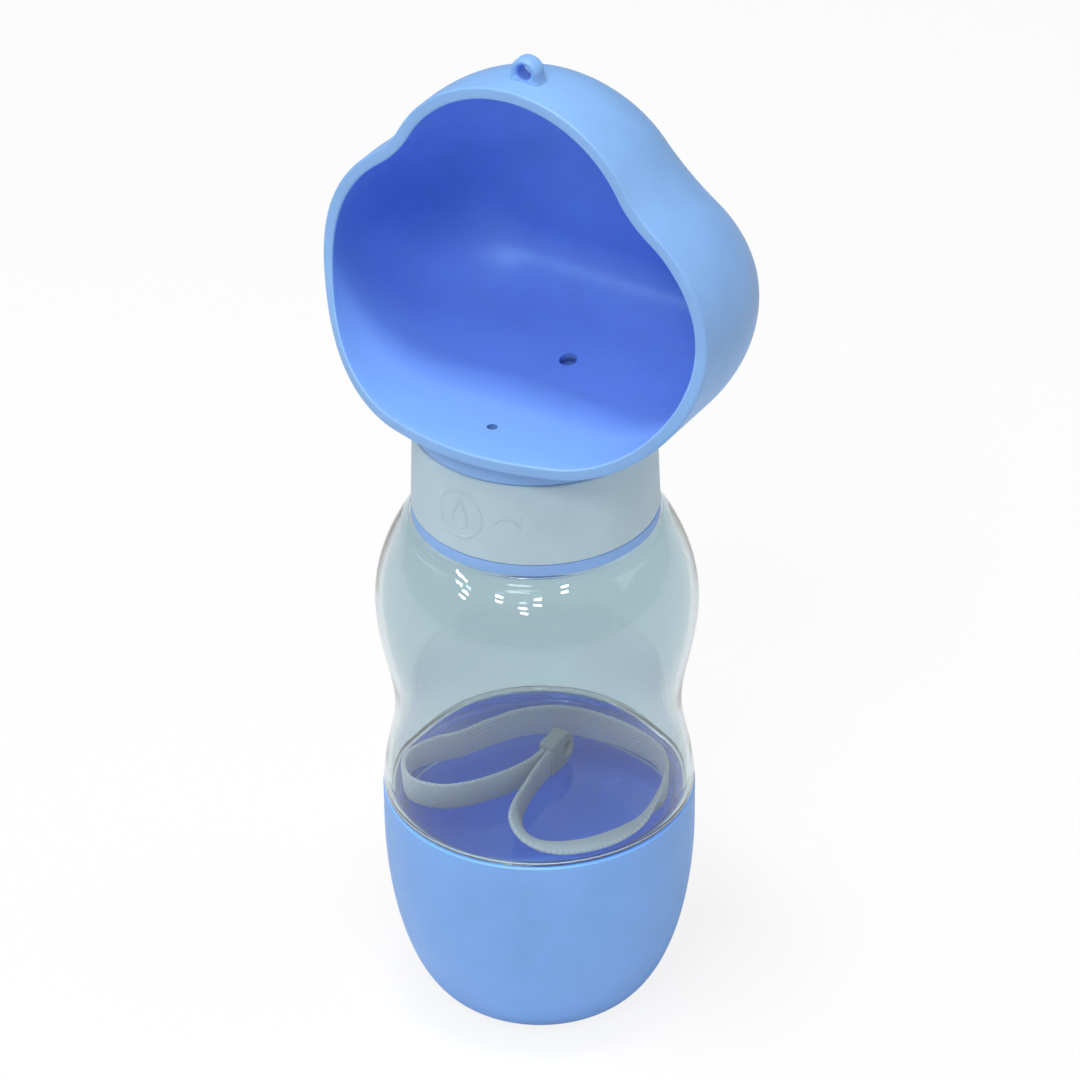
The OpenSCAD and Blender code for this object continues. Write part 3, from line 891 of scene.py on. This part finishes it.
pad_corners = [(0, 149.35), (19.1, 149.35, 0.2), (19.1, 150.55, 0.15), (0, 150.55)]
pad = turned("port_pad_disc", rounded(pad_corners), 128)
drill_ports(pad, 148, 152, wider=0.1)
hand_over(pad, "bowl", "silicone", pale_silicone, "port_pad")

snap = ring("snap_ring", 19.6, 22.9, 149.5, 150.55, 0.2)
hand_over(snap, "bowl", "collar_white", inner_white, "retaining_ring")

o_ring = turned("o_ring", [on_circle((20.5, 151.35), 0.4, a) for a in range(0, 360, 24)])
hand_over(o_ring, "bowl", "silicone", pale_silicone, "barrel_o_ring")

# %% [markdown]
# ## The drinking bowl
# The bowl is a cloud in front view: a round top lobe and two round side lobes that run into
# flatter corners. All of these are arcs that touch each other smoothly, so the outline can be
# moved inwards by any distance and stays smooth. The bowl is that outline carried from the rim
# to the back, moved inwards along a quarter ellipse, first outside and then inside. The back
# leans, and its middle runs out into one plane, so that no crease shows there. The rim is not
# flat: it stands far out at the pouring lip and sweeps back up the sides.

# %% The cloud outline
TOP_R, TOP_Z = 32.7, 205.5
SIDE_R, SIDE_X, SIDE_Z = 32.7, 16.1, 187.2
CORNER_R, CORNER_A = 28.3, -20.5
RIM_NOTCH, BACK_NOTCH = 24.8, 55.0
WALL, RIM, EDGE = 2.1, 2.8, 0.5
BACK_Y, LEAN, DEPTH, INSET = 34.0, 0.13, 32.8, 21.5
FLAT_LEAN, FLAT_Z = 0.262, 191.7

top_c = (0.0, TOP_Z)
side_c = (SIDE_X, SIDE_Z)
corner_c = on_circle(side_c, SIDE_R - CORNER_R, CORNER_A)
floor_z = corner_c[1] - CORNER_R


def meeting_point(c1, r1, c2, r2):
    """The right-hand point at distance r1 from c1 and r2 from c2"""
    gap = Vector(c2) - Vector(c1)
    d = gap.length
    along = (r1 * r1 - r2 * r2 + d * d) / (2 * d)
    across = math.sqrt(r1 * r1 - along * along)
    u = gap / d
    return tuple(Vector(c1) + along * u + across * Vector((-u.y, u.x)))


def arc(centre, radius, start, end, count):
    return [on_circle(centre, radius, start + (end - start) * k / count) for k in range(count)]


def cloud(inset, notch):
    """The outline moved inwards, with notches of a given radius, as (x, z) points"""
    notch_c = meeting_point(top_c, TOP_R + notch, side_c, SIDE_R + notch)
    side_end = math.degrees(math.atan2(notch_c[1] - side_c[1], notch_c[0] - side_c[0]))
    top_start = math.degrees(math.atan2(notch_c[1] - top_c[1], notch_c[0] - top_c[0]))
    half = [(corner_c[0] * k / 14, floor_z + inset) for k in range(14)]
    half += arc(corner_c, CORNER_R - inset, -90, CORNER_A, 26)
    half += arc(side_c, SIDE_R - inset, CORNER_A, side_end, 30)
    half += arc(notch_c, notch + inset, side_end + 180, top_start + 180, 14)
    half += arc(top_c, TOP_R - inset, top_start, 90, 26)
    half.append((0.0, TOP_Z + TOP_R - inset))
    return half + [(-x, z) for x, z in half[-2:0:-1]]


print(f"bowl: floor at {floor_z:.1f} mm, {len(cloud(0, RIM_NOTCH))} points round")


# %% The bowl's shell
HOOD_Y, LIP_Y = -8.4, -29.9
LIP_REACH, LIP_SPREAD, LIP_POINTED = 74.7, 0.435, 5.4


def rim_y(x, z, inset):
    """How far forward the rim stands: at LIP_Y on the lip, and back to HOOD_Y away from it"""
    far = math.hypot(LIP_SPREAD * x, z - floor_z - inset)
    share = (1 + math.cos(math.pi * min(far, LIP_REACH) / LIP_REACH)) / 2
    return HOOD_Y + (LIP_Y - HOOD_Y) * share**LIP_POINTED


def round_y(z):
    return BACK_Y - LEAN * (z - SIDE_Z) - DEPTH


def lean_back(share, z_side, z_here):
    """How far the wall leans back: its sides by their own height, its flat middle as one plane"""
    soft = share * share * (3 - 2 * share)
    return -(1 - soft) * LEAN * (z_side - SIDE_Z) - soft * FLAT_LEAN * (z_here - FLAT_Z)


def shell_side(inset, at_rim):
    """Rings of one face of the wall, from just behind the rim to the middle of the back"""
    base = cloud(inset, BACK_NOTCH)
    front = [(x, rim_y(x, z, at_rim) + EDGE, z) for x, z in cloud(at_rim, RIM_NOTCH)]
    behind = [(x, round_y(z), z) for x, z in base]
    rings = []
    for t in (0.0, 0.06, 0.2, 0.4, 0.6, 0.8):
        rings.append([tuple(Vector(f).lerp(Vector(b), t)) for f, b in zip(front, behind)])
    for k in range(25):
        a = math.radians(90 * k / 24)
        share = 1 - math.cos(a)
        cut = cloud(inset + (INSET - inset) * share, BACK_NOTCH)
        depth = BACK_Y - DEPTH + (DEPTH - inset) * math.sin(a)
        rings.append([(x, depth + lean_back(share, side[1], z), z) for (x, z), side in zip(cut, base)])
    mid_z = SIDE_Z + 9
    middle = Vector((0, BACK_Y - inset + lean_back(1, 0, mid_z), mid_z))
    edge = rings[-1]
    for k in range(1, 10):
        rings.append([tuple(Vector(p).lerp(middle, k / 10)) for p in edge])
    return rings, tuple(middle)


def rim_rings():
    """Rings over the rim's flat face and its two small rounded edges, outside to inside"""
    rings = []
    turns = [math.radians(a) for a in (20, 40, 60, 80)]
    steps = [(EDGE * (1 - math.cos(a)), EDGE * (1 - math.sin(a))) for a in turns]
    steps += [(EDGE, 0), (RIM / 2, -0.04), (RIM - EDGE, 0)]
    steps += [(RIM - across, back) for across, back in steps[3::-1]]
    for across, back in steps:
        rings.append([(x, rim_y(x, z, across) + back, z) for x, z in cloud(across, RIM_NOTCH)])
    return rings


def make_shell():
    outside, outer_mid = shell_side(0, 0)
    inside, inner_mid = shell_side(WALL, RIM)
    rings = outside[::-1] + rim_rings() + inside
    count = len(rings[0])
    points = [p for one in rings for p in one]
    faces = skin(len(rings), count)
    for mid, first in ((outer_mid, 0), (inner_mid, (len(rings) - 1) * count)):
        points.append(mid)
        faces += [[len(points) - 1, first + k, first + (k + 1) % count] for k in range(count)]
    return new_mesh("bowl_shell", points, faces, crisp=50)


bowl = make_shell()
drill_ports(bowl, 150, 166)
hand_over(bowl, "bowl", "bowl_blue", bowl_blue, "drinking_bowl")


# %% The bowl's inside finish and its painted shade
HOLLOW_MIDDLE = Vector((0, -8, 195))


def faces_the_water(middle, normal):
    """True for the faces that look towards the hollow's middle, behind the rim"""
    behind_rim = middle.y > rim_y(middle.x, middle.z, RIM) + EDGE - 0.05
    to_hollow = (HOLLOW_MIDDLE - middle).normalized()
    return in_a_port(middle) or behind_rim and normal.dot(to_hollow) > 0.1


def in_a_port(middle, normal=None):
    """True for the walls of the two holes in the bowl's floor"""
    to_water, to_air = math.hypot(middle.x, middle.y - WATER_Y), math.hypot(middle.x, middle.y - AIR_Y)
    return middle.z < 160 and (to_water < WATER_R + 0.05 or to_air < AIR_R + 0.05)


gloss_and_painted_light_inside(bowl, bowl_inside_painted_shade, faces_the_water)

# %% [markdown]
# ## The bowl's foot
# Under the bowl a round foot rests on the collar and goes over into the barrel that turns in
# it. Its top has to follow the bowl's belly, so a turned drum is trimmed by a block with the
# belly's own curve. A slot underneath takes the stop lug, and the two ports go through.

# %% The bowl's foot and barrel
BELLY_DEEP, BELLY_TALL = 31.7, 20.4


def make_foot():
    drum = [(0, 151.0), (19.1, 151.0, 0.1), (19.1, 149.5, 0.1), (19.6, 149.5, 0.1), (19.6, 150.7, 0.05)]
    drum += [(20.5, 150.7, 0.1), (20.5, 150.9, 0.05), (20.1, 150.9), (20.1, 151.8), (20.5, 151.8, 0.05)]
    drum += [(20.5, 152.2, 0.1), (27.1, 152.2, 0.35), (27.1, 172), (0, 172)]
    foot = turned("bowl_foot", rounded(drum), 160)
    base = round_y(floor_z)
    middle = floor_z + WALL / 2
    turns = [math.radians(a) for a in range(0, 73, 4)]
    belly = [(-45, middle)]
    belly += [(base + BELLY_DEEP * math.sin(a), middle + BELLY_TALL * (1 - math.cos(a))) for a in turns]
    belly += [(45, belly[-1][1]), (45, 200), (-45, 200)]
    subtract(foot, extruded("trim", belly, 100))
    subtract(foot, arc_block("slot_cut", 22.1, 25.1, 151.0, 154.5, 81.5, 188.5, fillet=0.2, steps=60))
    drill_ports(foot, 148, 170)
    return foot


foot = make_foot()
hand_over(foot, "bowl", "bowl_blue", bowl_blue)
# The port walls in the foot take the painted shade of the bowl's inside
gloss_and_painted_light_inside(foot, bowl_inside_painted_shade, in_a_port)

# %% [markdown]
# ## The lanyard eyelet
# A small lug on top of the bowl takes a lanyard. It is a rounded band that goes round the hole,
# and its foot spreads as it runs into the bowl, which is how a moulder keeps such an eye from
# snapping off. The band is made as one closed ring of rounded sections, so the hole's edge is
# as soft as the outer one.

# %% The eyelet
EYE_Y, EYE_Z = -1.0, 240.15
LUG_WIDE, LUG_TALL, LEG_FLARE, LEG_LONG = 3.35, 3.15, 0.6, 2.6
HOLE_WIDE, HOLE_TALL = 1.55, 1.75


def eyelet_lines(count=24):
    """The lug's outer outline and the hole's, point for point, from the hole's middle"""
    turns = [math.pi * k / count for k in range(count + 1)]
    outer = [(LUG_WIDE * math.cos(a), LUG_TALL * math.sin(a)) for a in turns]
    drops = (0.5, 1, 1.4, 1.8, 2.1, 2.4, LEG_LONG)
    leg = [(LUG_WIDE + LEG_FLARE * (drop / LEG_LONG) ** 2.2, -drop) for drop in drops]
    outer += [(-x, z) for x, z in leg]
    outer += [((LUG_WIDE + LEG_FLARE) * x, -LEG_LONG - 0.5) for x in (-0.8, -0.4, 0, 0.4, 0.8)]
    outer += leg[::-1]
    around = [math.atan2(z, x) for x, z in outer]
    return outer, [(HOLE_WIDE * math.cos(a), HOLE_TALL * math.sin(a)) for a in around]


def make_eyelet():
    outer, inner = eyelet_lines()
    points = []
    soft = 0.75
    corners = [math.radians(a) for a in (0, 22, 45, 68, 90)]
    for (ox, oz), (ix, iz) in zip(outer, inner):
        out, hole = Vector((ox, 0, oz)), Vector((ix, 0, iz))
        wide = (out - hole).length
        along = (out - hole) / wide
        half = 1.9 + 0.25 * max(0, (-oz - 1.2) / 1.6) ** 2
        section = [(wide - soft * (1 - math.cos(a)), half - soft * (1 - math.sin(a))) for a in corners]
        section += [(soft * (1 - math.cos(a)), half - soft * (1 - math.sin(a))) for a in corners[::-1]]
        section += [(across, -deep) for across, deep in section[::-1]]
        for across, deep in section:
            points.append(hole + along * across + Vector((0, deep + EYE_Y, EYE_Z)))
    return new_mesh("eyelet", points, skin(len(outer), len(section), closed=True), crisp=70)


eyelet = make_eyelet()
hand_over(eyelet, "bowl", "bowl_blue", bowl_blue)
# The eyelet's hole takes the painted shade of the bowl's inside
gloss_and_painted_light_inside(eyelet, bowl_inside_painted_shade, lambda middle, normal: math.hypot(middle.x, middle.z - EYE_Z) < 2.1)

# %% [markdown]
# ## Floor and light
# The picture was cut out on white. A pale matte floor carries the light up to the walls, as the
# table in the photograph did. Where the camera sees it directly or through the clear wall, most
# of it is plain white, so the background is even and only a faint shadow is left.

# %% Floor
def seen_as(nodes, links, base, camera, through_glass):
    """The value base, plus more where the camera looks straight at it or through the clear wall"""
    path = nodes.new("ShaderNodeLightPath")
    last = None
    for kind, more in (("Is Camera Ray", camera), ("Is Transmission Ray", through_glass)):
        node = nodes.new("ShaderNodeMath")
        node.operation = "MULTIPLY_ADD"
        links.new(path.outputs[kind], node.inputs[0])
        node.inputs[1].default_value = more
        node.inputs[2].default_value = base
        if last:
            links.new(last, node.inputs[2])
        last = node.outputs["Value"]
    return last


def make_floor():
    points = [(-4000, -4000, 0), (4000, -4000, 0), (4000, 4000, 0), (-4000, 4000, 0)]
    floor = new_mesh("floor", points, [[0, 1, 2, 3]])
    material, nodes, links, shader = shade("pale_floor")
    shader.inputs["Base Color"].default_value = (0.88, 0.88, 0.88, 1)
    shader.inputs["Roughness"].default_value = 0.9
    shader.inputs["Specular IOR Level"].default_value = 0
    glow = nodes.new("ShaderNodeEmission")
    share = seen_as(nodes, links, 0, 0.86, 0.86)
    mix = nodes.new("ShaderNodeMixShader")
    links.new(share, mix.inputs["Fac"])
    links.new(shader.outputs["BSDF"], mix.inputs[1])
    links.new(glow.outputs["Emission"], mix.inputs[2])
    links.new(mix.outputs["Shader"], nodes["Material Output"].inputs["Surface"])
    floor.data.materials.append(material)


make_floor()


# %% Sky
def make_sky(fill, through_glass):
    world = bpy.data.worlds.new("studio")
    bpy.context.scene.world = world
    world.use_nodes = True
    nodes, links = world.node_tree.nodes, world.node_tree.links
    background = nodes["Background"]
    background.inputs["Color"].default_value = (1, 1, 1, 1)
    links.new(seen_as(nodes, links, fill, 1 - fill, through_glass - fill), background.inputs["Strength"])
    print("sky fill", fill, "and through the clear wall", through_glass)


make_sky(0.12, 0.7)

# %% [markdown]
# ## Lamps
# The bright floor of the bowl and the dark upper half of its inside show that most of the light
# comes from above, from a lamp overhead and two more that hang forward of it: light at 50
# degrees passes under the bowl's hood and reaches the lower half of the back wall. Weak soft
# boxes at the front, left and right lift the sides.

# %% Lamps
def lamp(name, place, aim_at, wide, tall, power):
    data = bpy.data.lights.new(name, "AREA")
    data.shape = "RECTANGLE"
    data.size = wide
    data.size_y = tall
    data.energy = power
    lamp_object = bpy.data.objects.new(name, data)
    spot = Vector(place)
    lamp_object.matrix_world = Matrix.Translation(spot) @ (
        (spot - Vector(aim_at)).to_track_quat("Z", "Y").to_matrix().to_4x4()
    )
    bpy.context.scene.collection.objects.link(lamp_object)
    return lamp_object


lamp("ceiling", (0.0, -0.12, 1.6), (0, 0, 0.15), 0.25, 0.25, 11.5)
lamp("ceiling_middle", (0.0, -0.45, 1.55), (0, 0, 0.15), 0.3, 0.3, 3.5)
lamp("ceiling_front", (0.25, -1.0, 1.35), (0, 0, 0.15), 0.4, 0.4, 8.5)
for name, place, power in (
    ("front", (0.4, -1.4, 1.0), 1.5),
    ("left", (-1.3, -0.5, 0.8), 5.0),
    ("right", (1.2, 0.6, 0.8), 4.3),
):
    soft_box = lamp(name, place, (0, 0, 0.1), 0.9, 0.9, power)
    soft_box.visible_glossy = False

# %% [markdown]
# ## Lamps for one piece each
# The clear shoulder mirrors seven short tubes in a row, each as one or two small white bars.
# Every tube hangs where its bar in the photograph sends the line of sight: that line was
# followed to the wall and turned back there. Three weak lamps draw the soft streak on the
# bowl's back wall, and one lights the inside of the cup, because its thin translucent wall
# lets in more light than a solid one. Each of these shines on one piece only.

# %% The row of tubes
shoulder = Vector((0.010, -0.028, 0.125))
tube_pairs = [
    ((-126.3, 23.2),),
    ((-119.9, 23.6), (-122.8, 20.3)),
    ((-115.2, 18.7), (-116.5, 16.0)),
    ((-88.4, 24.7), (-87.6, 22.3)),
    ((-68.9, 21.3), (-67.3, 18.5)),
    ((-57.3, 26.4), (-57.4, 23.1)),
    ((-34.0, 30.6), (-34.9, 28.0)),
]


def away(round_by, rise):
    """The direction of a lamp from its angle round the bottle and its height, in degrees"""
    a, b = math.radians(round_by), math.radians(rise)
    return Vector((math.cos(a) * math.cos(b), math.sin(a) * math.cos(b), math.sin(b)))


def shines_on(lamp_object, piece):
    """Limits a lamp to the one piece that shows its light"""
    group = bpy.data.collections.new("lit_by_" + lamp_object.name)
    group.objects.link(piece)
    lamp_object.light_linking.receiver_collection = group


for pair, ends in enumerate(tube_pairs):
    for row, place in enumerate(ends):
        tube = lamp(f"tube_{pair}_{row}", shoulder + away(*place) * 1.6, shoulder, 0.16, 0.035, 0.5)
        tube.visible_diffuse = False
        shines_on(tube, bottle)


# %% The streak in the bowl and the light in the cup
hollow = Vector((0, 0, 0.17))
streak_lamps = [(-42, 42, 1.8), (-80, 37, 1.6), (-112, 35, 4.0)]
for number, (round_by, rise, power) in enumerate(streak_lamps):
    streak = lamp(f"streak_{number}", hollow + away(round_by, rise) * 1.3, hollow, 0.2, 0.1, power)
    streak.visible_diffuse = False
    shines_on(streak, bowl)

cup_fill = lamp("cup_fill", (0, 0, 1.4), (0, 0, 0.05), 0.4, 0.4, 5.0)
shines_on(cup_fill, cup)
cup_fill.light_linking.blocker_collection = cup_fill.light_linking.receiver_collection

# %% [markdown]
# ## View transform
# The picture is shown through the Standard view transform.

# %% View transform
bpy.context.scene.view_settings.view_transform = "Standard"
